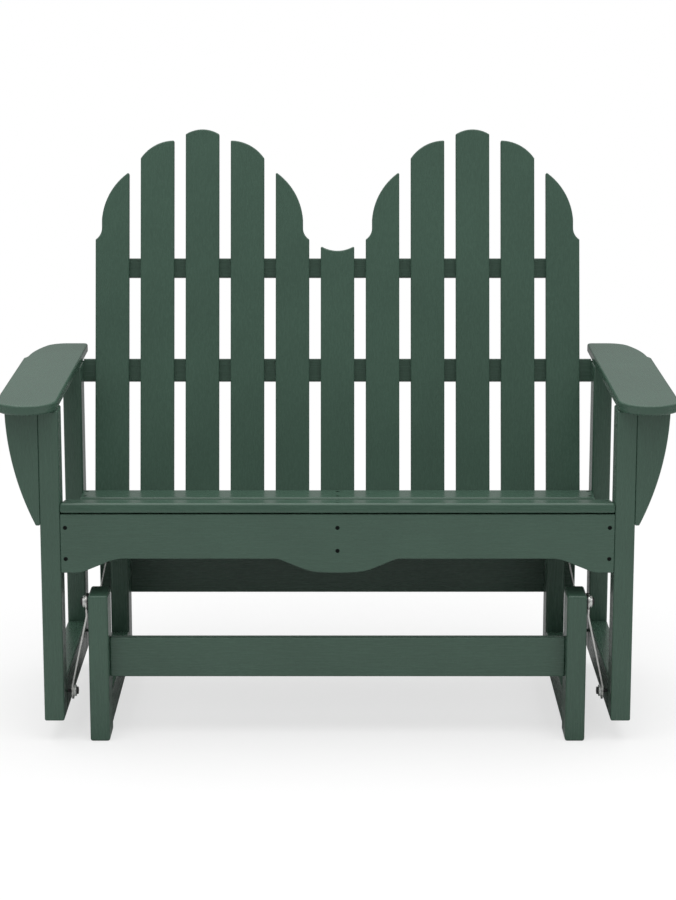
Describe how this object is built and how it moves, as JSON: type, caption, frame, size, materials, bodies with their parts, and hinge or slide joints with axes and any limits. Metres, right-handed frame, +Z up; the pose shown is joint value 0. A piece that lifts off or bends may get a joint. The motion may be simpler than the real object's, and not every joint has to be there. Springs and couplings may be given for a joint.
{
  "type": "glider bench",
  "caption": "Slatted plastic-lumber glider bench with a double-arched back, broad arms and a seat hung on bent steel links inside a low post base.",
  "frame": {"origin": "on the floor under the middle of the whole bench", "axes": "+X to the sitters' left, seen from the front to the right, +Y to the rear, +Z up"},
  "size_m": [1.286, 0.6875, 1.1193],
  "materials": {
    "green_lumber": "matte dark green plastic lumber with a fine grain",
    "link_steel": "zinc-grey satin steel",
    "bearing_steel": "pale satin steel",
    "black_hardware": "black coated bolts, nuts and washers",
    "screw_steel": "dark green coated flat heads"
  },
  "bodies": {
    "base": {"base_frame_screws": "screw_steel", "base_front_stretcher": "green_lumber", "base_post_front_left": "green_lumber", "base_post_front_right": "green_lumber", "base_post_rear_left": "green_lumber", "base_post_rear_right": "green_lumber", "base_rear_board": "green_lumber", "base_side_rail_left": "green_lumber", "base_side_rail_right": "green_lumber", "upper_pivot_bolts": "black_hardware", "upper_pivot_nuts": "black_hardware"},
    "seat": {"apron_screws": "screw_steel", "arm_bracket_left": "green_lumber", "arm_bracket_right": "green_lumber", "arm_left": "green_lumber", "arm_right": "green_lumber", "back_rail_foot": "green_lumber", "back_rail_lower": "green_lumber", "back_rail_upper": "green_lumber", "back_slat_01": "green_lumber", "back_slat_02": "green_lumber", "back_slat_03": "green_lumber", "back_slat_04": "green_lumber", "back_slat_05": "green_lumber", "back_slat_06": "green_lumber", "back_slat_07": "green_lumber", "back_slat_08": "green_lumber", "back_slat_09": "green_lumber", "back_slat_10": "green_lumber", "back_slat_11": "green_lumber", "back_slat_screws": "screw_steel", "frame_screws": "screw_steel", "lower_pivot_bolts": "black_hardware", "lower_pivot_nuts": "black_hardware", "lower_pivot_spacers": "black_hardware", "seat_apron": "green_lumber", "seat_leg_front_left": "green_lumber", "seat_leg_front_right": "green_lumber", "seat_leg_rear_left": "green_lumber", "seat_leg_rear_right": "green_lumber", "seat_side_rail_left": "green_lumber", "seat_side_rail_right": "green_lumber", "seat_slat_1": "green_lumber", "seat_slat_2": "green_lumber", "seat_slat_3": "green_lumber", "seat_slat_4": "green_lumber", "seat_slat_5": "green_lumber", "seat_slat_6": "green_lumber", "seat_slat_screws": "screw_steel", "seat_stringer_left": "green_lumber", "seat_stringer_middle": "green_lumber", "seat_stringer_right": "green_lumber"},
    "link_front_left": {"link_front_left": "link_steel", "bearings_front_left": "bearing_steel"},
    "link_front_right": {"link_front_right": "link_steel", "bearings_front_right": "bearing_steel"},
    "link_rear_left": {"link_rear_left": "link_steel", "bearings_rear_left": "bearing_steel"},
    "link_rear_right": {"link_rear_right": "link_steel", "bearings_rear_right": "bearing_steel"}
  },
  "joints": [
    {"name": "glide", "type": "hinge", "parent": "base", "child": "link_front_left", "pos_m": [-0.48415, -0.26683, 0.271], "axis": [1, 0, 0], "range_deg": [-12, 12]},
    {"name": "seat_tilt", "type": "hinge", "parent": "link_front_left", "child": "seat", "pos_m": [-0.5125, -0.22565, 0.07999], "axis": [1, 0, 0], "range_deg": [-14, 14]},
    {"name": "front_right_swing", "type": "hinge", "parent": "base", "child": "link_front_right", "pos_m": [0.48415, -0.26683, 0.271], "axis": [1, 0, 0], "range_deg": [-12.1, 12.1]},
    {"name": "rear_left_swing", "type": "hinge", "parent": "base", "child": "link_rear_left", "pos_m": [-0.48415, 0.2286, 0.271], "axis": [1, 0, 0], "range_deg": [-11.9, 11.9]},
    {"name": "rear_right_swing", "type": "hinge", "parent": "base", "child": "link_rear_right", "pos_m": [0.48415, 0.2286, 0.271], "axis": [1, 0, 0], "range_deg": [-11.9, 11.9]}
  ],
  "couplings": [
    {"joint": "seat_tilt", "follows": "glide", "ratio": -1.1508},
    {"joint": "front_right_swing", "follows": "glide", "ratio": 1},
    {"joint": "rear_left_swing", "follows": "glide", "ratio": 0.98281},
    {"joint": "rear_right_swing", "follows": "glide", "ratio": 0.98281}
  ]
}
